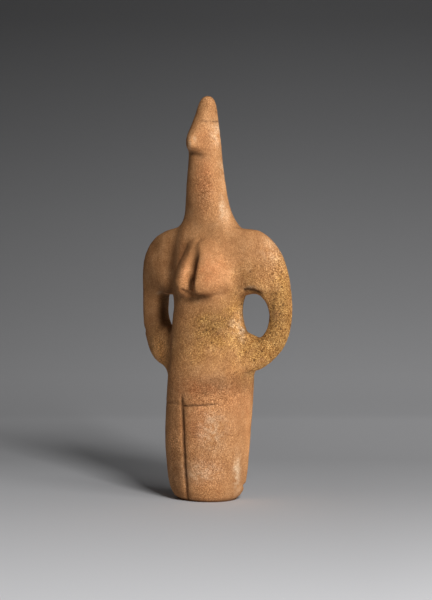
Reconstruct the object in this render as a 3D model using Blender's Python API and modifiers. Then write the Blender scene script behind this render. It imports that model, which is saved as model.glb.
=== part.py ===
"""A marble figurine of a standing woman, about a forearm's length tall, carved from one block.

She stands on a flat underside and faces -Y, with +X to her left and +Z up. The origin is on the
ground, under the axis of her neck. The body is a coarse cage of rings, given a smooth skin by a
Subdivision Surface. Her arms leave the cage at the shoulders and come back to it at the hips, so
that each elbow has an open gap beside the waist. The breasts are raised out of the chest's skin, and
the cleft of the legs, the line across the hips and the line between the breasts are cut in.
"""

import math

import bmesh
import bpy
from mathutils import Vector

# Driving dimensions, in metres.
HEIGHT = 0.300  # from the ground to the tip of the head
CLEFT_WIDTH = 0.0022  # the line that parts the legs
HIP_LINE_WIDTH = 0.0018  # the line incised across the hips
BREAST_LINE_WIDTH = 0.0030  # the line between the breasts

# The carver's proportions, in thousandths of the height.
PER_MILLE = HEIGHT / 1000

# One ring of the body a row: height, how far its middle stands to her left, half width, reach to
# the front and to the back of the neck's axis, how far forward the widest points stand, how square
# the front is (2 is an ellipse, more is squarer, less is keeled), and how many degrees round from
# the side the next point stands, which sets how deep an arm is where it leaves the body.
BODY_RINGS = (
    (-22, 0, 58, 54, 30, 4, 2.0, 30),
    (16, 0, 88, 83, 58, 4, 2.0, 30),
    (50, -1, 98, 92, 68, 4, 2.0, 30),
    (160, 0, 106, 104, 77, 4, 2.0, 30),
    (302, 7, 109, 104, 82, 2, 2.0, 24),
    (352, 7, 107, 96, 72, -4, 2.0, 26),
    (411, 3, 102, 84, 62, -4, 2.0, 26),
    (460, -2, 94, 70, 54, -2, 2.0, 24),
    (505, 0, 101, 66, 52, -6, 2.0, 24),
    (598, 4, 114, 58, 46, -6, 2.1, 27),
    (672, 4, 94, 42, 42, -2, 2.3, 32),
    (706, 1, 68, 40, 36, 0, 2.0, 30),
    (770, -3, 51, 47, 32, 4, 2.0, 30),
    (850, -3, 41, 44, 26, 8, 2.0, 30),
    (872, -3, 39, 60, 26, 8, 1.8, 30),
    (898, -3, 37, 64, 24, 8, 1.8, 30),
    (940, -2, 29, 38, 22, 4, 2.0, 30),
    (985, -2, 18, 17, 17, 0, 2.0, 30),
)
TIP = 1000
HIP_ROWS = (4, 5, 6)
SHOULDER_ROWS = (8, 9, 10)

# One ring of an arm a row, from the shoulder round the elbow to the hip: the inner and the outer
# end of the section as distances from the middle and heights, where its front and its back stand
# behind the neck's axis, how square it is, and how much further back its outer end stands than its
# inner, as a share of its width.
LEFT_ARM = (
    (121, 510, 142, 674, -16, 48, 2.6, 0.6),
    (156, 514, 194, 612, -2, 59, 2.6, 0.8),
    (180, 482, 220, 522, 12, 60, 2.4, 0.6),
    (180, 444, 219, 440, 14, 60, 2.4, 0.6),
    (164, 418, 200, 384, 12, 60, 2.4, 0.5),
    (143, 404, 172, 350, 4, 56, 2.4, 0.4),
    (121, 413, 140, 326, -10, 52, 2.6, 0.3),
)
RIGHT_ARM = (
    (120, 502, 142, 664, -32, 44, 3.0, 0.1),
    (146, 504, 206, 603, -20, 48, 3.0, 0.1),
    (159, 476, 223, 521, -6, 54, 3.0, 0.1),
    (159, 450, 222, 440, -6, 54, 3.0, 0.1),
    (146, 426, 206, 380, -10, 53, 3.0, 0.1),
    (122, 426, 160, 330, -30, 46, 2.6, 0.1),
)

# Where the arms are softened: between which heights, and a row for each share of their length, with
# its nearest and furthest distance from the middle and how often it is softened.
SOFT_HEIGHTS = (330, 700)
SOFT_SHARES = (
    (80, 156, 12),
    (80, 240, 3),
)
SOFTENING = 0.5  # how far a point moves each time towards the middle of its neighbours, as a share

# Each breast: side, distance from the middle of its crest's upper and lower end, how far it reaches
# from the crest to the middle and outward, and how far it stands out.
BREASTS = (
    (1, 27, 38, 29, 74, 31),
    (-1, -5, 20, 29, 45, 28),
)
CHEST_REACH = 100  # how far from the middle the breasts may lift the skin
CHEST_HEIGHTS = (498, 668)  # and between which heights
BREAST_TOP = 628  # height of the crests' upper ends
BREAST_LOW = 548  # height of their lower ends
BREAST_ABOVE = 20  # how far a breast reaches above its crest
BREAST_BELOW = 37  # and below it
BREAST_NARROW = 0.6  # width at the upper end, as a share of the lower end's
BREAST_SHALLOW = 0.5  # how far the upper end stands out, as a share of the lower end
BREAST_FULLNESS = 0.6  # how full its outer side is: 1 is a full round and 0 fades into the chest
BREAST_DROOP = 0.15  # how far the breasts sink as they stand out, as a share

# The lines: each is a list of distances from the middle and heights on the front of the skin.
CLEFT = [(7, z) for z in range(268, -20, -20)]
BREAST_LINE = [(8 + (z - 520) / 15, z) for z in range(626, 519, -15)]
HIP_LINE = [(106 * math.cos(math.radians(angle)), 241) for angle in range(32, 153, 10)]

RING_POINTS = 12  # as many as ring_angles gives
ARM_POINTS = 8
SKIN_LEVELS = 3
LIGHTEN = 0.17  # share of the skin's faces kept
BACK_SQUARENESS = 3.2


def power_circle(angle, squareness):
    """A point of the unit superellipse."""
    c, s = math.cos(angle), math.sin(angle)
    e = 2 / squareness
    return math.copysign(abs(c) ** e, c), math.copysign(abs(s) ** e, s)


def ring_angles(first):
    """The angles of a ring's points, in radians, from her left side by way of the front."""
    degrees = (0, first, (first + 90) / 2, 90)
    half = [*degrees, *(180 - angle for angle in degrees[2:0:-1])]
    return [math.radians(angle) for angle in half + [180 + angle for angle in half]]


def body_ring(height, shift, half_width, front, back, middle, squareness, first):
    """The points of one ring of the body."""
    points = []
    for angle in ring_angles(first):
        forward = math.sin(angle) > 0
        x, y = power_circle(angle, squareness if forward else BACK_SQUARENESS)
        reach = front - middle if forward else back + middle
        points.append(Vector((shift + x * half_width, -(middle + y * reach), height)) * PER_MILLE)
    return points


def arm_ring(side, inner_x, inner_z, outer_x, outer_z, front, back, squareness, sweep):
    """The points of one ring of an arm, from its outer end by way of the front."""
    depth = (front + back) / 2
    swept = sweep * (outer_x - inner_x) / 2
    inner = Vector((side * inner_x, depth - swept, inner_z))
    outer = Vector((side * outer_x, depth + swept, outer_z))
    middle = (inner + outer) / 2
    points = []
    for k in range(ARM_POINTS):
        u, v = power_circle(2 * math.pi * k / ARM_POINTS, squareness)
        point = middle + (outer - inner) / 2 * u
        point.y -= (back - front) / 2 * v
        points.append(point * PER_MILLE)
    return points


def root_loop(rings, side, rows):
    """The eight points round the patch of the body's side where an arm grows out, outer row first."""
    outer, middle, inner = rows
    centre = 0 if side > 0 else RING_POINTS // 2
    front = (centre + side) % RING_POINTS
    back = (centre - side) % RING_POINTS
    places = (
        (outer, centre), (outer, front), (middle, front), (inner, front),
        (inner, centre), (inner, back), (middle, back), (outer, back),
    )
    return [rings[row][k] for row, k in places]


def join_loops(bm, first, second):
    """A band of faces between two loops of as many points."""
    count = len(first)
    for k in range(count):
        after = (k + 1) % count
        bm.faces.new((first[k], first[after], second[after], second[k]))


def cage_mesh():
    """The coarse cage: a column of rings, with an arm looped out of each side."""
    bm = bmesh.new()
    rings = [[bm.verts.new(p) for p in body_ring(*row)] for row in BODY_RINGS]
    for lower, upper in zip(rings, rings[1:]):
        join_loops(bm, lower, upper)
    bm.faces.new(rings[0])
    tip = bm.verts.new(Vector((0, 0, TIP)) * PER_MILLE)
    for k in range(RING_POINTS):
        bm.faces.new((rings[-1][k], rings[-1][(k + 1) % RING_POINTS], tip))
    for side, arm in ((1, LEFT_ARM), (-1, RIGHT_ARM)):
        loops = [root_loop(rings, side, SHOULDER_ROWS[::-1])]
        loops += [[bm.verts.new(p) for p in arm_ring(side, *row)] for row in arm]
        loops += [root_loop(rings, side, HIP_ROWS)]
        for rows in (SHOULDER_ROWS, HIP_ROWS):
            hub = rings[rows[1]][0 if side > 0 else RING_POINTS // 2]
            bmesh.ops.delete(bm, geom=[hub], context="VERTS")
        for first, second in zip(loops, loops[1:]):
            join_loops(bm, first, second)
    bmesh.ops.recalc_face_normals(bm, faces=bm.faces)
    mesh = bpy.data.meshes.new("figurine")
    bm.to_mesh(mesh)
    bm.free()
    return mesh


def fit_cage(obj, passes=6):
    """Moves the cage out until the smooth skin passes through the points it was given."""
    wanted = [v.co.copy() for v in obj.data.vertices]
    for _ in range(passes):
        graph = bpy.context.evaluated_depsgraph_get()
        skin = obj.evaluated_get(graph).to_mesh()
        for vertex, point, want in zip(obj.data.vertices, skin.vertices, wanted):
            vertex.co += want - point.co
        obj.evaluated_get(graph).to_mesh_clear()
        obj.data.update()


def keep_skin(obj):
    """The cage gives way to its smooth skin."""
    graph = bpy.context.evaluated_depsgraph_get()
    skin = bpy.data.meshes.new_from_object(obj.evaluated_get(graph))
    obj.modifiers.clear()
    obj.data = skin


def soften_arms(figure):
    """Rounds the valleys where the arms leave the body and come back to it."""
    bm = bmesh.new()
    bm.from_mesh(figure.data)
    lowest, highest = SOFT_HEIGHTS
    for nearest, furthest, times in SOFT_SHARES:
        soft = []
        for vertex in bm.verts:
            x, y, z = vertex.co / PER_MILLE
            if nearest < abs(x) < furthest and lowest < z < highest:
                soft.append(vertex)
        for _ in range(times):
            bmesh.ops.smooth_vert(
                bm, verts=soft, factor=SOFTENING, use_axis_x=True, use_axis_y=True, use_axis_z=True)
    bm.to_mesh(figure.data)
    bm.free()


def front_skin(obj, x, z):
    """The point of the skin's front at a distance from the middle and a height."""
    graph = bpy.context.evaluated_depsgraph_get()
    start = Vector((x * PER_MILLE, -HEIGHT, z * PER_MILLE))
    found, place, normal, index = obj.evaluated_get(graph).ray_cast(start, Vector((0, 1, 0)))
    return place


def breast_lift(x, z, side, top_x, low_x, inward, outward, stand):
    """How far one breast lifts the skin, in thousandths of the height, at a place on her front."""
    share = min(max((BREAST_TOP - z) / (BREAST_TOP - BREAST_LOW), 0), 1)
    across = side * x - (top_x + (low_x - top_x) * share)
    reach = (outward if across > 0 else inward) * (BREAST_NARROW + (1 - BREAST_NARROW) * share)
    above = max(z - BREAST_TOP, 0) / BREAST_ABOVE
    below = max(BREAST_LOW - z, 0) / BREAST_BELOW
    gap = math.hypot(across / reach, above, below)
    if gap >= 1:
        return 0
    soft = (1 + math.cos(math.pi * gap)) / 2
    full = math.sqrt(1 - gap * gap)
    fullness = 1 - (1 - BREAST_FULLNESS) * max(across / reach / gap, 0) if gap > 0 else 1
    rise = BREAST_SHALLOW + (1 - BREAST_SHALLOW) * share
    return stand * rise * (soft + (full - soft) * fullness)


def on_chest(vertex):
    """Whether a point lies on the front of the chest."""
    x, y, z = vertex.co / PER_MILLE
    return y < 0 and abs(x) < CHEST_REACH and CHEST_HEIGHTS[0] < z < CHEST_HEIGHTS[1]


def raise_breasts(figure):
    """Lifts the skin of the chest into the two breasts, on a finer net of points."""
    bm = bmesh.new()
    bm.from_mesh(figure.data)
    chest = [edge for edge in bm.edges if all(on_chest(vertex) for vertex in edge.verts)]
    bmesh.ops.subdivide_edges(bm, edges=chest, cuts=1, use_grid_fill=True)
    for vertex in bm.verts:
        if on_chest(vertex):
            x, y, z = vertex.co / PER_MILLE
            lift = max(breast_lift(x, z, *row) for row in BREASTS)
            vertex.co += Vector((0, -1, -BREAST_DROOP)) * lift * PER_MILLE
    bm.to_mesh(figure.data)
    bm.free()


def groove(collection, figure, name, places, width):
    """A round bar along a line on the front of the skin, whose inner half leaves a groove."""
    path = [front_skin(figure, x, z) for x, z in places]
    curve = bpy.data.curves.new(name, "CURVE")
    curve.dimensions = "3D"
    curve.bevel_depth = width / 2
    curve.bevel_resolution = 1
    curve.use_fill_caps = True
    spline = curve.splines.new("POLY")
    spline.points.add(len(path) - 1)
    for point, place in zip(spline.points, path):
        point.co = (*place, 1)
    draft = bpy.data.objects.new(name, curve)
    bpy.context.scene.collection.objects.link(draft)
    graph = bpy.context.evaluated_depsgraph_get()
    mesh = bpy.data.meshes.new_from_object(draft.evaluated_get(graph))
    bpy.data.objects.remove(draft)
    bm = bmesh.new()
    bm.from_mesh(mesh)
    bmesh.ops.remove_doubles(bm, verts=bm.verts, dist=1e-6)
    bmesh.ops.recalc_face_normals(bm, faces=bm.faces)
    bm.to_mesh(mesh)
    bm.free()
    return add_helper(collection, name, mesh)


def ground_block(collection):
    """What is cut away below the ground."""
    bm = bmesh.new()
    bmesh.ops.create_cube(bm, size=HEIGHT)
    bmesh.ops.translate(bm, verts=bm.verts, vec=(0, 0, -HEIGHT / 2))
    mesh = bpy.data.meshes.new("ground")
    bm.to_mesh(mesh)
    bm.free()
    return add_helper(collection, "ground", mesh)


def add_helper(collection, name, mesh):
    """An object that only cuts the figure, drawn as wires."""
    helper = bpy.data.objects.new(name, mesh)
    helper.hide_render = True
    helper.display_type = "WIRE"
    collection.objects.link(helper)
    return helper


def cut_away(figure, helper):
    """A Boolean that takes a helper's shape out of the figure."""
    modifier = figure.modifiers.new(helper.name, "BOOLEAN")
    modifier.operation = "DIFFERENCE"
    modifier.object = helper


def stone():
    """The warm tan of the marble."""
    material = bpy.data.materials.new("marble")
    material.use_nodes = True
    shader = material.node_tree.nodes["Principled BSDF"]
    shader.inputs["Base Color"].default_value = (0.46, 0.24, 0.12, 1)
    shader.inputs["Roughness"].default_value = 0.7
    shader.inputs["Metallic"].default_value = 0
    return material


def main():
    for obj in list(bpy.data.objects):
        bpy.data.objects.remove(obj)
    parts = bpy.data.collections.new("cycladic_figurine")
    helpers = bpy.data.collections.new("helpers")
    bpy.context.scene.collection.children.link(parts)
    bpy.context.scene.collection.children.link(helpers)

    figure = bpy.data.objects.new("figurine", cage_mesh())
    parts.objects.link(figure)
    skin = figure.modifiers.new("smooth skin", "SUBSURF")
    skin.levels = skin.render_levels = SKIN_LEVELS
    fit_cage(figure)
    keep_skin(figure)
    soften_arms(figure)
    raise_breasts(figure)

    cuts = [
        groove(helpers, figure, "cleft", CLEFT, CLEFT_WIDTH),
        groove(helpers, figure, "hip_line", HIP_LINE, HIP_LINE_WIDTH),
        groove(helpers, figure, "breast_line", BREAST_LINE, BREAST_LINE_WIDTH),
        ground_block(helpers),
    ]
    lighten = figure.modifiers.new("fewer faces", "DECIMATE")
    lighten.ratio = LIGHTEN
    for cut in cuts:
        cut_away(figure, cut)
    figure.modifiers.new("even shading", "WEIGHTED_NORMAL")
    figure.data.shade_smooth()
    figure.data.materials.append(stone())


main()
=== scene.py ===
"""The marble figurine in a plain studio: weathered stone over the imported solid, a pale floor, soft light."""

import math

import bmesh
import bpy
import numpy as np
from mathutils import Matrix, Vector, noise


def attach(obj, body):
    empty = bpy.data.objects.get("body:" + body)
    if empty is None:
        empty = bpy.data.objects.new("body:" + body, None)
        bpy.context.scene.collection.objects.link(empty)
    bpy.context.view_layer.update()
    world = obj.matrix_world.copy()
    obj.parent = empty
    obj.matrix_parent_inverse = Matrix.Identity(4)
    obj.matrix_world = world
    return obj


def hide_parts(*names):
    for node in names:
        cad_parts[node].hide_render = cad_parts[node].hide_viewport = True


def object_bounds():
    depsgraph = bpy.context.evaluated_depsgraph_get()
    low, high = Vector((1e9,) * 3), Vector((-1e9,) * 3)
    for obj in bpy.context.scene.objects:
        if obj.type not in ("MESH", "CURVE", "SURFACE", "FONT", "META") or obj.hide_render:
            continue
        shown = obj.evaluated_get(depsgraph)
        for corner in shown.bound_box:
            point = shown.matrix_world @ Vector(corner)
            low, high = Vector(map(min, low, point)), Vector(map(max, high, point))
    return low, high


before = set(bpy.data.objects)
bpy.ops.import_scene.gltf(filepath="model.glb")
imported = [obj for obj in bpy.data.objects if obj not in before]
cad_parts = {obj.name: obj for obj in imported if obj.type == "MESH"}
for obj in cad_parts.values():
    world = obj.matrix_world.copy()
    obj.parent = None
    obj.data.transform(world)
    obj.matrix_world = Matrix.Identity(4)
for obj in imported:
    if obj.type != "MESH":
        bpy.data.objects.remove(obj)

CAD_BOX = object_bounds()
HEIGHT = CAD_BOX[1][2] - CAD_BOX[0][2]
PER_MILLE = HEIGHT / 1000  # the carver's unit, as in the solid

# The photograph: its frame in pixels, and where the figurine stands in it.
PHOTO_WIDTH = 432
PHOTO_HEIGHT = 600
AXIS_COLUMN = 207.5
TIP_ROW = 96.5
GROUND_ROW = 499.5
MIDDLE_ROW = (GROUND_ROW + TIP_ROW) / 2
PIXELS_PER_METRE = (GROUND_ROW - TIP_ROW) / HEIGHT
VIEW_TURN = 40  # degrees from her front round to her left
CAMERA_DISTANCE = 6.0 * HEIGHT
CAMERA_RISE = 0.9 * HEIGHT
SENSOR = 24  # millimetres, upright

# The fine skin of the stone: its grain in metres, and how often it is smoothed.
WELD = 0.00001
VOXEL = 0.00092
EVEN_PASSES = 6
CREASE_PASSES = 60
SMOOTHING = 0.5
LEAST_WEIGHT = 0.01

# Creases worn round at the arms: how much, the middle and the radii, in thousandths of the height.
ARM_CREASES = (
    (1.0, (-116, -20, 630), (46, 60, 100)), (1.0, (-112, -25, 380), (44, 60, 90)),
    (1.0, (122, -10, 600), (40, 60, 100)), (0.7, (118, -25, 370), (36, 60, 60)),
    (1.2, (122, 10, 412), (34, 80, 36)), (1.2, (-104, 10, 424), (30, 80, 30)),
)
CREASE_WEIGHT = 1.6
# The lower corner of the gap at her left elbow, filled: metres up, the middle and the radii, in pixels.
GAP_CORNER = ((0.0020, (251, 341), (11, 9)), (0.0030, (245, 337), (5, 6)))

# Carved and worn lines on the side that shows, as columns and rows of the photograph.
CLEFT = ((181, 393), (181.8, 410), (183.2, 442), (184.6, 470), (186, 490), (187.5, 502))
HIP_LINE = ((182.5, 406.2), (190, 406), (198, 405.6), (207, 404.9), (216, 404.2), (224, 403.8))
HIP_LINE_WORN = ((165, 402.5), (172, 402.8), (182, 403.6))
BREAST_VALLEY = ((195, 250), (193, 258), (190.6, 271), (188.6, 288))
BREAST_GROOVE = ((198, 247), (196.2, 257), (193.6, 269), (191.8, 281), (190.6, 291))
# Below the breasts and the beak: edges cut in a little, with painted shade along them.
UNDER_BREASTS = ((179, 288), (184, 291.5), (190, 294), (198, 296.5), (205, 298), (212, 296.5))
UNDER_BEAK = ((187, 152.5), (193, 154), (199, 155.2), (206, 155))
HEAD_CRACK = ((196, 121.6), (201, 120.4), (206, 121.2), (211, 120.8), (216, 121.8), (220, 121))
ARM_NOTCH = ((242, 291), (247, 289.5), (253, 290.5), (259, 293), (264, 297))
VALLEY_REACH = (5.5, 2.5)  # pixels from the valley at which its smoothing starts and is full

# The marks of those lines: the half-width in pixels, the shares of the length over which it fades in and
# out, the depth in metres, and how dark it is: painted shade under the breasts and the beak, and dirt
# with painted shade in the other cuts.
MARKS = (
    (CLEFT, 1.1, 0.1, 0, 0.0010, 0.75),
    (CLEFT, 4.0, 0.2, 0, 0.0007, 0),
    (HIP_LINE, 0.9, 0.02, 0.35, 0.0009, 0.85),
    (HIP_LINE_WORN, 1.6, 0.05, 0.1, 0.0004, 0.25),
    (BREAST_GROOVE, 2.0, 0.35, 0, 0.0010, 0.85),
    (BREAST_GROOVE, 3.4, 0.5, 0, 0.0008, 0),
    (UNDER_BREASTS, 1.9, 0.15, 0.3, 0.0012, 0.5),
    (UNDER_BEAK, 2.3, 0.2, 0.4, 0.0010, 0.6),
    (HEAD_CRACK, 0.7, 0.35, 0, 0.0005, 0.7),
    (ARM_NOTCH, 2.0, 0.1, 0.35, 0.0013, 0.9),
)
LEAST_FADE = 0.001
WANDER_ACROSS, WANDER_DOWN = 0.48, 0.36  # pixels by which a hand-cut line strays
CRACK_LEAST = 0.55  # how much of the crack is left where the grain hides it
CRACK_GRAIN = (-0.3, 0.3)
FACING_CAMERA = (0.0, 0.35)  # how squarely the skin faces the camera, where a mark starts and is full
SPOT_FALL = 1.5
BLOB_ROUNDING = 0.8
# Chips: metres deep, the middle and the radii in pixels, and the side, 1 for her left and -1 for her right.
CHIPS = ((0.0022, (247, 486), (3.5, 3), 1), (0.0010, (143, 330), (3, 3), -1))
BEAK_RIDGE = ((191, 143), (4, 8))
BEAK_RIDGE_RISE = 0.0003

# Heights at the foot in thousandths of the height, between which each thing starts and is full.
FOOT_RELIEF = (0, 4)
FOOT_ROUND = (-12, 2)
# Where the painted contact shadow at the foot starts and is full:
FOOT_SHADOW_RIM = (-7, -2)
FOOT_ROUNDING = 0.0022  # metres
# A painted contact shadow along the foot's lowest edge, and how dark it is:
RIM_PAINTED_SHADOW = 0.85

# The lumps of the weathered skin: their size and how far they move it, in metres.
SWELL_SIZE, SWELL_DEPTH = 0.030, 0.00032
LUMP_SIZE, LUMP_DEPTH = 0.007, 0.00013
GRAIN_SIZE, GRAIN_DEPTH, ROUGH_GRAIN_DEPTH = 0.0022, 0.00004, 0.00009
WANDER_SIZE = 0.012
PIT_SIZE, PIT_DEPTH = 0.0026, 0.00040
PIT_REACH, PIT_SLOPE = 0.45, 0.3  # in cells of that size
PIT_CHOICE = (0.55, 0.85)  # the numbers of cells that start to be pits, and that are full ones
# Where each seed's part of the noise lies, and how the fractal goes on from octave to octave.
CLOUD_SHIFT = (7.31, 3.17, 5.71)
CELL_SHIFT = (3.7, 9.1, 1.3)
CELL_SPREAD = 8.13
OCTAVE_STEP = (1.0, 2.0)

# How the lumps break up each patch of colour and roughness.
OCHRE_BY_LUMPS, OCHRE_BY_SWELL = 0.6, 0.12
ROSY_BY_LUMPS, ROSY_BY_SWELL = 0.5, 0.25
ROSY_SWELL = (0, 0.5)
PALE_LEAST, PALE_BY_LUMPS, PALE_BY_GRAIN = 0.7, 1.0, 0.7
TONE_BY_SWELL, TONE_BY_LUMPS = 0.08, 0.05
ROUGH_LEAST, ROUGH_BY_OCHRE, ROUGH_BY_SWELL = 0.16, 0.65, 0.15
PITTED_LEAST, PITTED_BY_OCHRE = 0.10, 0.9

# Patches on the side that shows: how much, the middle and the radii, in pixels. Most are the stone's own
# colour, roughness and pits; the shade patches and the tone patches hold painted light and shade.
OCHRE = (
    (1.0, (216, 326), (28, 22)), (0.9, (268, 346), (26, 26)), (0.8, (284, 300), (12, 60)),
    (0.5, (215, 352), (50, 24)), (0.4, (158, 350), (12, 25)), (0.35, (250, 375), (18, 18)),
)
# The same patina carried round the arms to the back, in thousandths of the height.
OCHRE_BEHIND = ((0.8, (120, 40, 470), (140, 90, 170)), (0.5, (-150, 60, 480), (90, 60, 140)))
ROSY = (
    (0.9, (210, 270), (18, 22)), (0.8, (200, 388), (30, 14)), (0.8, (198, 422), (16, 26)),
    (0.6, (205, 470), (20, 18)), (0.9, (204, 180), (12, 30)), (0.4, (203, 136), (10, 14)),
    (0.7, (182, 262), (8, 24)), (0.4, (240, 400), (20, 40)),
)
PALE = (
    (0.6, (189.5, 144), (1.8, 8)), (0.6, (194.5, 139), (2, 4)), (0.42, (212, 430), (16, 20)),
    (0.36, (200, 472), (22, 12)), (0.7, (237, 474), (4, 20)), (0.5, (242, 326), (5, 14)),
    (0.5, (222, 203), (3, 16)), (0.4, (222, 168), (4, 12)), (0.2, (272, 250), (14, 18)),
    (0.3, (234, 328), (7, 10)), (0.45, (217, 134), (7, 14)), (0.5, (250, 288), (8, 2.5)),
    (0.6, (160, 293), (3, 2)), (0.25, (226, 214), (7, 12)), (0.3, (242, 325), (7, 14)),
)
# Painted shade: inside her right arm beside its gap, under the breasts, under the beak, in the notch over the
# gap at her left elbow, and between her right breast and arm.
PAINTED_SHADE_PATCHES = (
    (0.78, (163, 310), (6, 26)), (0.5, (170, 294), (8, 10)), (0.40, (195, 299), (14, 4)),
    (0.55, (258, 293), (12, 4)), (0.35, (200, 156), (10, 4)), (0.25, (170, 272), (4, 26)),
)
# Painted light and shade, with some of the stone's own tone: painted highlights on the beak, on the side of
# the head and the edge of the legs toward the lights, painted shade under the breasts, inside her left arm by
# its gap and down the middle of the neck.
TONES_WITH_PAINTED_LIGHT = (
    (0.45, (191, 143), (5, 9)), (0.10, (212, 262), (34, 24)), (0.35, (184, 272), (8, 20)),
    (-0.42, (212, 326), (24, 20)), (0.42, (217, 138), (6, 15)), (-0.10, (208, 103), (8, 8)),
    (-0.35, (273, 312), (3.5, 26)), (0.45, (249, 440), (5, 55)), (0.12, (266, 352), (12, 15)),
    (-0.42, (224, 384), (36, 14)), (-0.45, (193, 299), (18, 5)), (-0.3, (156, 245), (8, 16)),
    (0.20, (205, 216), (14, 10)), (0.08, (168, 256), (8, 22)), (-0.38, (280, 315), (12, 42)),
    (0.7, (160, 354), (11, 18)), (0.45, (239, 322), (7, 18)), (-0.07, (206, 440), (28, 42)),
    (-0.04, (208, 485), (25, 18)), (0.12, (239, 488), (6, 12)), (-0.10, (178, 440), (5, 45)),
    (-0.08, (150, 300), (8, 40)), (-0.14, (174, 485), (8, 14)), (-0.25, (205, 188), (9, 26)),
    (0.2, (224, 185), (4, 20)), (0.16, (228, 212), (6, 14)), (0.22, (200, 235), (24, 12)),
    (0.25, (170, 440), (6, 50)),
)
ROUGH = (
    (0.6, (205, 192), (11, 26)), (0.4, (210, 137), (13, 18)), (0.25, (207, 106), (8, 10)),
    (0.5, (205, 395), (40, 20)), (0.3, (210, 440), (30, 30)), (0.35, (212, 470), (30, 20)),
    (0.4, (174, 450), (8, 45)), (0.3, (275, 265), (16, 30)), (0.4, (268, 348), (14, 14)),
)
PITTED = (
    (0.6, (203, 192), (5, 20)), (1.4, (216, 115), (4, 6)), (1.4, (212, 142), (5, 5)),
    (0.8, (206, 99), (4, 4)), (0.4, (222, 215), (12, 10)), (0.5, (252, 268), (10, 20)),
    (0.5, (205, 392), (26, 12)),
)

# Colours of the stone, dark to light over its blotches, and of what lies on and in it, including painted
# shade.
BLOTCH_STOPS = (0.32, 0.50, 0.68)
TAN = ((0.40, 0.180, 0.069), (0.48, 0.228, 0.090), (0.57, 0.290, 0.126))
YELLOW = ((0.34, 0.158, 0.042), (0.46, 0.228, 0.066), (0.59, 0.318, 0.102))
RED = ((0.41, 0.155, 0.056), (0.50, 0.205, 0.078), (0.60, 0.265, 0.110))
WORN_PALE = (0.72, 0.52, 0.33)
# Dark for dirt in the cuts, for painted shade and for the painted contact shadow at the foot.
DARK_DIRT_AND_SHADE = (0.060, 0.024, 0.009)
DARK_PIT = (0.080, 0.032, 0.010)
WHITE = (1, 1, 1)
# What the specks and the grains multiply the colour by, over their noise.
SPECKS = ((0.36, (0.26, 0.17, 0.11)), (0.47, WHITE), (0.55, WHITE), (0.66, (2.0, 2.1, 2.3)))
GRAINS = ((0.36, (0.66, 0.56, 0.46)), (0.50, WHITE), (0.64, (1.35, 1.42, 1.5)))
# Noise of the colours: how many to the metre, its octaves and its roughness.
BLOTCH_NOISE = (90, 6, 0.7)
SPECK_NOISE = (1500, 2, 0.5)
GRAIN_NOISE = (760, 3, 0.6)
BRIGHTEST_TONE = 1.8  # what the colour is multiplied by where the stored tone is 1
LEAST_SPECKS = 0.15
STONE_ROUGHNESS, STONE_SHEEN = 0.8, 0.15
BUMP_STRENGTH, BUMP_DEPTH = 0.6, 0.0005

# How pale the paper is, from 0 to 1, by how far behind her it is in metres along the roll (graduated paper
# and painted falloff of light), and then how much of that stays, by how far to the right of her it is: painted
# light near her and painted shade further back.
PAPER_BACK = (
    (-0.40, 0.56), (-0.12, 0.54), (0.05, 0.52), (0.22, 0.54), (0.50, 0.82), (0.75, 0.75), (1.0, 0.57),
    (1.18, 0.45), (1.39, 0.30), (1.6, 0.17), (2.4, 0.095),
)
PAINTED_LIGHT_ACROSS_NEAR = ((-0.3, 1.35), (0.1, 1.0))
PAINTED_SHADE_ACROSS_FAR = ((-0.3, 0.84), (0.1, 1.0))
PAPER_TURNS = ((0.12, 0.0), (0.3, 1.0))  # where along the roll the second takes over from the first
BACK_RANGE = (-1, 3)
ACROSS_RANGE = (-0.5, 0.5)
PAPER_BLUE = 1.01
PAPER_ROUGHNESS, PAPER_SHEEN = 0.9, 0.2

# The lights: degrees right of the camera, degrees up, metres away, metres wide and high, and watts.
LIGHTS = (
    ("key", 20, 34, 1.2, (0.28, 0.28), 9.4),
    ("side", 42, 4, 1.2, (0.8, 0.3), 10.4),
)
ALL_ROUND_LIGHT = 0.067


def eye():
    """Where the camera stands and what it looks at."""
    turn = math.radians(VIEW_TURN)
    place = Vector((math.sin(turn) * CAMERA_DISTANCE, -math.cos(turn) * CAMERA_DISTANCE, CAMERA_RISE))
    return place, Vector((0, 0, HEIGHT / 2))


def in_photo(co):
    """The column and the row of the photograph at which each point stands."""
    place, aim = eye()
    view = aim - place
    right = view.cross(Vector((0, 0, 1))).normalized()
    up = right.cross(view).normalized()
    ray = co - np.array(place)
    depth = ray @ (np.array(view) / view.length)
    pixels = PIXELS_PER_METRE * view.length
    column = AXIS_COLUMN + pixels * (ray @ np.array(right)) / depth
    row = MIDDLE_ROW - pixels * (ray @ np.array(up)) / depth
    return column, row


def line_gap(column, row, points):
    """The distance in pixels to a line, and how far along it from 0 to 1 the nearest place is."""
    best = np.full(len(column), np.inf)
    along = np.zeros(len(column))
    for k, (a, b) in enumerate(zip(points, points[1:])):
        ax, ay, dx, dy = a[0], a[1], b[0] - a[0], b[1] - a[1]
        t = np.clip(((column - ax) * dx + (row - ay) * dy) / (dx * dx + dy * dy), 0, 1)
        gap = np.hypot(column - ax - t * dx, row - ay - t * dy)
        nearer = gap < best
        best[nearer] = gap[nearer]
        along[nearer] = ((k + t) / (len(points) - 1))[nearer]
    return best, along


def spot(column, row, centre, radii):
    """A soft patch on the photograph: 1 at its centre, fading to 0 past its radii in pixels."""
    u = (column - centre[0]) / radii[0]
    v = (row - centre[1]) / radii[1]
    return np.exp(-SPOT_FALL * (u * u + v * v))


def blob(co, centre, radii):
    """A soft round patch: 1 at its centre and 0 past its radii, which are in thousandths of the height."""
    d = (co / PER_MILLE - np.array(centre)) / np.array(radii)
    return np.clip(1 - np.sum(d * d, axis=1), 0, 1) ** BLOB_ROUNDING


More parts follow.
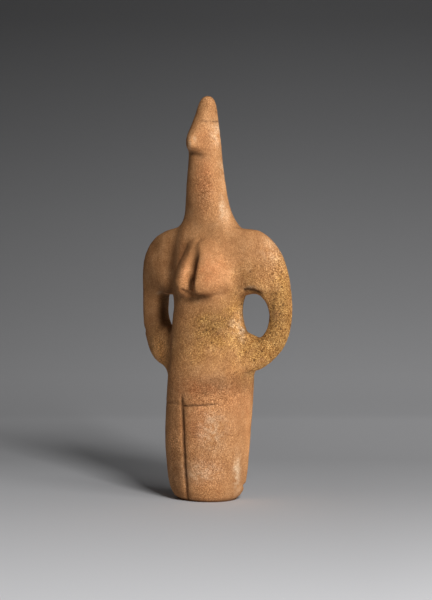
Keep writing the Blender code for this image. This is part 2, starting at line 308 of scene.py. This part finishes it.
def blobs(co, rows):
    """Round patches added up, each by its own amount."""
    return sum(amount * blob(co, centre, radii) for amount, centre, radii in rows)


def ramp(value, low, high):
    """0 below low, 1 above high, and a smooth step between."""
    t = np.clip((value - low) / (high - low), 0, 1)
    return t * t * (3 - 2 * t)


def cloud(co, size, octaves, seed):
    """Cloudy noise of about -1 to 1, with lumps of a size in metres."""
    shift = Vector([seed * part for part in CLOUD_SHIFT])
    scale = 1 / size
    return np.array([noise.fractal(Vector(p) * scale + shift, *OCTAVE_STEP, octaves) for p in co])


def cells(co, size, seed):
    """Distance to the nearest of scattered points, in cells, and each cell's own number from 0 to 1."""
    shift = Vector([seed * part for part in CELL_SHIFT])
    near = np.empty(len(co))
    own = np.empty(len(co))
    for i, p in enumerate(co):
        distances, points = noise.voronoi(Vector(p) / size + shift)
        near[i] = distances[0]
        own[i] = noise.cell(points[0] * CELL_SPREAD)
    return near, own * 0.5 + 0.5


def read_skin(mesh, what):
    """One row of three numbers for each point of the skin: its place (co) or its normal."""
    values = np.empty(len(mesh.vertices) * 3)
    mesh.vertices.foreach_get(what, values)
    return values.reshape(-1, 3)


def write_points(mesh, co):
    """Moves the points of the skin."""
    mesh.vertices.foreach_set("co", co.ravel())
    mesh.update()


def settled(obj):
    """The object with its modifiers applied."""
    graph = bpy.context.evaluated_depsgraph_get()
    mesh = bpy.data.meshes.new_from_object(obj.evaluated_get(graph))
    obj.modifiers.clear()
    obj.data = mesh
    return obj


def smoothing(obj, name, passes):
    """A smoothing of the whole skin, still to be applied."""
    smooth = obj.modifiers.new(name, "SMOOTH")
    smooth.factor = SMOOTHING
    smooth.iterations = passes
    return smooth


def soften(obj, weights, passes):
    """Smooths the skin by weights from 0 to 1."""
    group = obj.vertex_groups.new(name="soften")
    for index in np.nonzero(weights > LEAST_WEIGHT)[0]:
        group.add([int(index)], float(weights[index]), "REPLACE")
    smoothing(obj, "soften", passes).vertex_group = group.name
    settled(obj)
    obj.vertex_groups.clear()


def fine_skin(node):
    """A copy of the solid with an even, fine skin and no facets."""
    bm = bmesh.new()
    bm.from_mesh(node.data)
    bmesh.ops.remove_doubles(bm, verts=bm.verts, dist=WELD)
    mesh = bpy.data.meshes.new("stone_figure")
    bm.to_mesh(mesh)
    bm.free()
    piece = bpy.data.objects.new("stone_figure", mesh)
    bpy.context.scene.collection.objects.link(piece)
    remesh = piece.modifiers.new("even", "REMESH")
    remesh.mode = "VOXEL"
    remesh.voxel_size = VOXEL
    smoothing(piece, "facets", EVEN_PASSES)
    return settled(piece)


def round_creases(piece):
    """Wears round where the arms start, the corners of the elbow gaps and the first cut of the breasts."""
    co = read_skin(piece.data, "co")
    column, row = in_photo(co)
    corner = sum(rise * spot(column, row, centre, radii) for rise, centre, radii in GAP_CORNER)
    co[:, 2] += corner * (co[:, 0] > 0)
    write_points(piece.data, co)
    gap = line_gap(column, row, BREAST_VALLEY)[0]
    start, full = VALLEY_REACH
    valley = ramp(-gap, -start, -full) * (co[:, 1] < 0)
    soften(piece, np.clip(CREASE_WEIGHT * blobs(co, ARM_CREASES) + valley, 0, 1), CREASE_PASSES)


def weather(piece):
    """Carving, wear, grain and pits, moved along the normals, and the masks that colour the stone, painted
    light and shade among them.
    """
    mesh = piece.data
    co = read_skin(mesh, "co")
    normals = read_skin(mesh, "normal")
    x, y, z = (co / PER_MILLE).T
    column, row = in_photo(co)
    place, aim = eye()
    facing = ramp(normals @ np.array((place - aim).normalized()), *FACING_CAMERA)

    swell = cloud(co, SWELL_SIZE, 2, seed=1)
    lumps = cloud(co, LUMP_SIZE, 3, seed=2)
    grain = cloud(co, GRAIN_SIZE, 2, seed=3)
    near, own = cells(co, PIT_SIZE, seed=4)
    wander = cloud(co, WANDER_SIZE, 2, seed=5)
    pit = ramp(PIT_REACH - near, 0, PIT_SLOPE) * ramp(own, *PIT_CHOICE)

    def patches(rows):
        return sum(amount * spot(column, row, centre, radii) * facing for amount, centre, radii in rows)

    def carved(points, width, fade_in, fade_out):
        gap, along = line_gap(column + wander * WANDER_ACROSS, row + wander * WANDER_DOWN, points)
        starts = ramp(along, -LEAST_FADE, max(fade_in, LEAST_FADE))
        stops = ramp(1 - along, -LEAST_FADE, max(fade_out, LEAST_FADE))
        return np.exp(-(gap / width) ** 2) * starts * stops

    ochre = (patches(OCHRE) + blobs(co, OCHRE_BEHIND)) * (1 + OCHRE_BY_LUMPS * lumps)
    ochre = np.clip(ochre + OCHRE_BY_SWELL * swell, 0, 1)
    rosy = patches(ROSY) * (1 + ROSY_BY_LUMPS * lumps) + ROSY_BY_SWELL * ramp(swell, *ROSY_SWELL)
    pale = patches(PALE) * (PALE_LEAST + PALE_BY_LUMPS * lumps + PALE_BY_GRAIN * grain)
    # The tone: painted highlights and painted shade from the tone patches, and the stone's own tone from the
    # swell and the lumps.
    tone_and_painted_light = 1 + patches(TONES_WITH_PAINTED_LIGHT) + TONE_BY_SWELL * swell + TONE_BY_LUMPS * lumps
    rough = np.clip(ROUGH_LEAST + ROUGH_BY_OCHRE * ochre + patches(ROUGH) + ROUGH_BY_SWELL * swell, 0, 1)
    pits = pit * np.clip(PITTED_LEAST + PITTED_BY_OCHRE * ochre + patches(PITTED), 0, 1)
    # Painted shade patches, and a painted contact shadow along the foot's lowest edge.
    dirt_and_painted_shade = np.maximum(patches(PAINTED_SHADE_PATCHES), RIM_PAINTED_SHADOW * ramp(-z, *FOOT_SHADOW_RIM))

    move = SWELL_DEPTH * swell + LUMP_DEPTH * lumps - PIT_DEPTH * pits
    move += (GRAIN_DEPTH + ROUGH_GRAIN_DEPTH * rough) * grain
    for points, width, fade_in, fade_out, depth, stain_and_shade in MARKS:
        # Both walls of the valley between the breasts are cut, also the one that is turned away.
        seen = y < 0 if points is BREAST_GROOVE else facing
        mark = carved(points, width, fade_in, fade_out) * seen
        if points is HEAD_CRACK:
            mark *= CRACK_LEAST + (1 - CRACK_LEAST) * ramp(grain, *CRACK_GRAIN)
        move -= depth * mark
        # The dark of the marks: painted shade under the breasts and the beak, and dirt with painted shade in
        # the cuts.
        dirt_and_painted_shade = np.maximum(dirt_and_painted_shade, stain_and_shade * mark)
    move += BEAK_RIDGE_RISE * spot(column, row, *BEAK_RIDGE) * facing * (1 + lumps)
    for depth, centre, radii, side in CHIPS:
        move -= depth * spot(column, row, centre, radii) * (x * side > 0)
    co += normals * (move * ramp(z, *FOOT_RELIEF))[:, None]
    co[:, :2] -= normals[:, :2] * (FOOT_ROUNDING * ramp(-z, *FOOT_ROUND))[:, None]
    co[:, 2] = np.maximum(co[:, 2], 0)
    write_points(mesh, co)

    # A tone of 1 is stored as a half, so that brighter ones fit.
    masks = {
        "ochre": ochre, "rosy": rosy, "pale": pale, "dirt_and_painted_shade": dirt_and_painted_shade,
        "pit": pits, "rough": rough, "tone_and_painted_light": tone_and_painted_light / 2,
    }
    for name, values in masks.items():
        layer = mesh.attributes.new(name, "FLOAT", "POINT")
        layer.data.foreach_set("value", np.clip(values, 0, 1).astype(np.float32))
    mesh.shade_smooth()


def new_material(name, roughness, sheen):
    """A plain material, its node tree and its shader."""
    material = bpy.data.materials.new(name)
    material.use_nodes = True
    shader = material.node_tree.nodes["Principled BSDF"]
    shader.inputs["Roughness"].default_value = roughness
    shader.inputs["Specular IOR Level"].default_value = sheen
    return material, material.node_tree, shader


def read_layer(tree, name):
    """A number kept at each point of the mesh."""
    node = tree.nodes.new("ShaderNodeAttribute")
    node.attribute_name = name
    return node.outputs["Fac"]


def stretched(tree, value, before, after):
    """A value moved from one range to another."""
    node = tree.nodes.new("ShaderNodeMapRange")
    ends = zip(("From Min", "From Max", "To Min", "To Max"), (*before, *after))
    for name, end in ends:
        node.inputs[name].default_value = end
    tree.links.new(value, node.inputs["Value"])
    return node.outputs["Result"]


def colour_ramp(tree, value, stops):
    """The colour that a value from 0 to 1 has on a row of stops."""
    node = tree.nodes.new("ShaderNodeValToRGB")
    elements = node.color_ramp.elements
    while len(elements) < len(stops):
        elements.new(0.5)
    for element, (position, colour) in zip(elements, stops):
        element.position = position
        element.color = (*colour, 1)
    tree.links.new(value, node.inputs["Fac"])
    return node.outputs["Color"]


def mixed(tree, factor, first, second, blend="MIX"):
    """Two colours mixed; each input is a socket, a number or a plain colour."""
    node = tree.nodes.new("ShaderNodeMix")
    node.data_type = "RGBA"
    node.blend_type = blend
    # The sockets for colours share their names with those for numbers, so they are taken by their order.
    sockets = (node.inputs[0], node.inputs[6], node.inputs[7])
    for socket, value in zip(sockets, (factor, first, second)):
        if isinstance(value, float):
            socket.default_value = value
        elif isinstance(value, tuple):
            socket.default_value = (*value, 1)
        else:
            tree.links.new(value, socket)
    return node.outputs[2]


def stone():
    """Marble with a brown patina: blotched, speckled, pitted and pale where it is worn, with dirt and painted
    light and shade laid on.
    """
    material, tree, shader = new_material("weathered_marble", STONE_ROUGHNESS, STONE_SHEEN)
    place = tree.nodes.new("ShaderNodeTexCoord").outputs["Object"]

    def noise_node(scale, detail, rough):
        node = tree.nodes.new("ShaderNodeTexNoise")
        node.inputs["Scale"].default_value = scale
        node.inputs["Detail"].default_value = detail
        node.inputs["Roughness"].default_value = rough
        tree.links.new(place, node.inputs["Vector"])
        return node.outputs["Fac"]

    blotch = noise_node(*BLOTCH_NOISE)
    tan, yellow, red = (
        colour_ramp(tree, blotch, list(zip(BLOTCH_STOPS, row))) for row in (TAN, YELLOW, RED)
    )
    colour = mixed(tree, read_layer(tree, "rosy"), tan, red)
    colour = mixed(tree, read_layer(tree, "ochre"), colour, yellow)
    level = tree.nodes.new("ShaderNodeVectorMath")
    level.operation = "SCALE"
    tree.links.new(colour, level.inputs[0])
    # The stored tone scales the colour: painted light and shade, and the stone's own tone.
    tone_and_painted_light = stretched(tree, read_layer(tree, "tone_and_painted_light"), (0, 1), (0, BRIGHTEST_TONE))
    tree.links.new(tone_and_painted_light, level.inputs["Scale"])
    colour = mixed(tree, read_layer(tree, "pale"), level.outputs["Vector"], WORN_PALE)
    fine = noise_node(*SPECK_NOISE)
    share = stretched(tree, read_layer(tree, "rough"), (0, 1), (LEAST_SPECKS, 1))
    colour = mixed(tree, share, colour, colour_ramp(tree, fine, SPECKS), "MULTIPLY")
    colour = mixed(tree, share, colour, colour_ramp(tree, noise_node(*GRAIN_NOISE), GRAINS), "MULTIPLY")
    # Dirt and painted shade darken the colour.
    colour = mixed(tree, read_layer(tree, "dirt_and_painted_shade"), colour, DARK_DIRT_AND_SHADE)
    colour = mixed(tree, read_layer(tree, "pit"), colour, DARK_PIT)
    tree.links.new(colour, shader.inputs["Base Color"])

    bump = tree.nodes.new("ShaderNodeBump")
    bump.inputs["Strength"].default_value = BUMP_STRENGTH
    bump.inputs["Distance"].default_value = BUMP_DEPTH
    tree.links.new(fine, bump.inputs["Height"])
    tree.links.new(bump.outputs["Normal"], shader.inputs["Normal"])
    return material


def paper():
    """Matt paper, pale in front and darker as it runs back and up, as graduated paper and painted falloff of
    light; to one side painted light makes it paler near her and painted shade darker further back.
    """
    material, tree, shader = new_material("paper", PAPER_ROUGHNESS, PAPER_SHEEN)

    def shade(name, span, stops):
        low, high = span
        share = stretched(tree, read_layer(tree, name), span, (0, 1))
        greys = []
        for position, grey in stops:
            greys.append(((position - low) / (high - low), (grey, grey, grey * PAPER_BLUE)))
        return colour_ramp(tree, share, greys)

    depth = shade("back", BACK_RANGE, PAPER_BACK)
    near = shade("across", ACROSS_RANGE, PAINTED_LIGHT_ACROSS_NEAR)
    far = shade("across", ACROSS_RANGE, PAINTED_SHADE_ACROSS_FAR)
    side = mixed(tree, shade("back", BACK_RANGE, PAPER_TURNS), near, far)
    tree.links.new(mixed(tree, 1.0, depth, side, "MULTIPLY"), shader.inputs["Base Color"])
    return material


def sweep():
    """A pale floor that bends up behind her, as a roll of paper does."""
    width, ahead, behind, bend, rise, bend_steps = 9.0, 6.0, 0.55, 1.2, 1.5, 24
    hair = 1e-6
    bm = bmesh.new()
    ends = [bm.verts.new((side * width / 2, -ahead, 0)) for side in (-1, 1)]
    edge = [bm.edges.new(ends)]

    def run(edges, step):
        made = bmesh.ops.extrude_edge_only(bm, edges=edges)["geom"]
        moved = [item for item in made if isinstance(item, bmesh.types.BMVert)]
        bmesh.ops.translate(bm, verts=moved, vec=step)
        lines = [item for item in made if isinstance(item, bmesh.types.BMEdge)]
        return [line for line in lines if set(line.verts) <= set(moved)]

    edge = run(edge, (0, ahead + behind, 0))
    turned = bmesh.ops.spin(bm, geom=edge + list(edge[0].verts), cent=(0, behind, bend), axis=(1, 0, 0),
                            angle=math.radians(90), steps=bend_steps, use_duplicate=False)["geom_last"]
    run([item for item in turned if isinstance(item, bmesh.types.BMEdge)], (0, 0, rise))
    back = bm.verts.layers.float.new("back")
    across = bm.verts.layers.float.new("across")
    for vert in bm.verts:
        flat = vert.co.y <= behind + hair and vert.co.z < hair
        arc = math.atan2(vert.co.y - behind, bend - vert.co.z) if vert.co.z < bend else math.pi / 2
        vert[back] = vert.co.y if flat else behind + arc * bend + max(vert.co.z - bend, 0)
        vert[across] = vert.co.x
    turn = Matrix.Rotation(math.radians(VIEW_TURN), 3, "Z")
    bmesh.ops.rotate(bm, verts=bm.verts, cent=(0, 0, 0), matrix=turn)
    bmesh.ops.recalc_face_normals(bm, faces=bm.faces)
    mesh = bpy.data.meshes.new("floor")
    bm.to_mesh(mesh)
    bm.free()
    mesh.shade_smooth()
    floor = bpy.data.objects.new("floor", mesh)
    bpy.context.scene.collection.objects.link(floor)
    mesh.materials.append(paper())


def set_up(name, data, place, aim):
    """A camera or a light put in its place and turned to what it looks at."""
    obj = bpy.data.objects.new(name, data)
    obj.location = place
    obj.rotation_euler = (aim - place).to_track_quat("-Z", "Y").to_euler()
    bpy.context.scene.collection.objects.link(obj)
    return obj


def camera():
    """A camera on her front left, a little above her middle, framed as the photograph is."""
    place, aim = eye()
    data = bpy.data.cameras.new("camera")
    data.sensor_fit = "VERTICAL"
    data.sensor_height = SENSOR
    data.lens = SENSOR * PIXELS_PER_METRE * (aim - place).length / PHOTO_HEIGHT
    data.shift_x = (PHOTO_WIDTH / 2 - AXIS_COLUMN) / PHOTO_HEIGHT
    data.shift_y = (MIDDLE_ROW - PHOTO_HEIGHT / 2) / PHOTO_HEIGHT
    bpy.context.scene.camera = set_up("camera", data, place, aim)


def softbox(name, turn, rise, distance, size, power):
    """A soft light placed round her."""
    turn = math.radians(VIEW_TURN + turn)
    rise = math.radians(rise)
    flat = math.cos(rise) * distance
    middle = Vector((0, 0, HEIGHT / 2))
    data = bpy.data.lights.new(name, "AREA")
    data.shape = "RECTANGLE"
    data.size, data.size_y = size
    data.energy = power
    out = Vector((math.sin(turn) * flat, -math.cos(turn) * flat, math.sin(rise) * distance))
    set_up(name, data, middle + out, middle)


def studio():
    """The floor, a soft key from her left, a low side light and a little light from all round."""
    sweep()
    world = bpy.data.worlds.new("studio")
    bpy.context.scene.world = world
    world.use_nodes = True
    sky = world.node_tree.nodes["Background"]
    sky.inputs["Color"].default_value = (*WHITE, 1)
    sky.inputs["Strength"].default_value = ALL_ROUND_LIGHT
    for light in LIGHTS:
        softbox(*light)
    bpy.context.scene.view_settings.view_transform = "Standard"


def main():
    piece = fine_skin(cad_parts["figurine"])
    round_creases(piece)
    weather(piece)
    piece.data.materials.clear()
    piece.data.materials.append(stone())
    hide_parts("figurine")
    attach(piece, "root")
    studio()
    camera()


main()
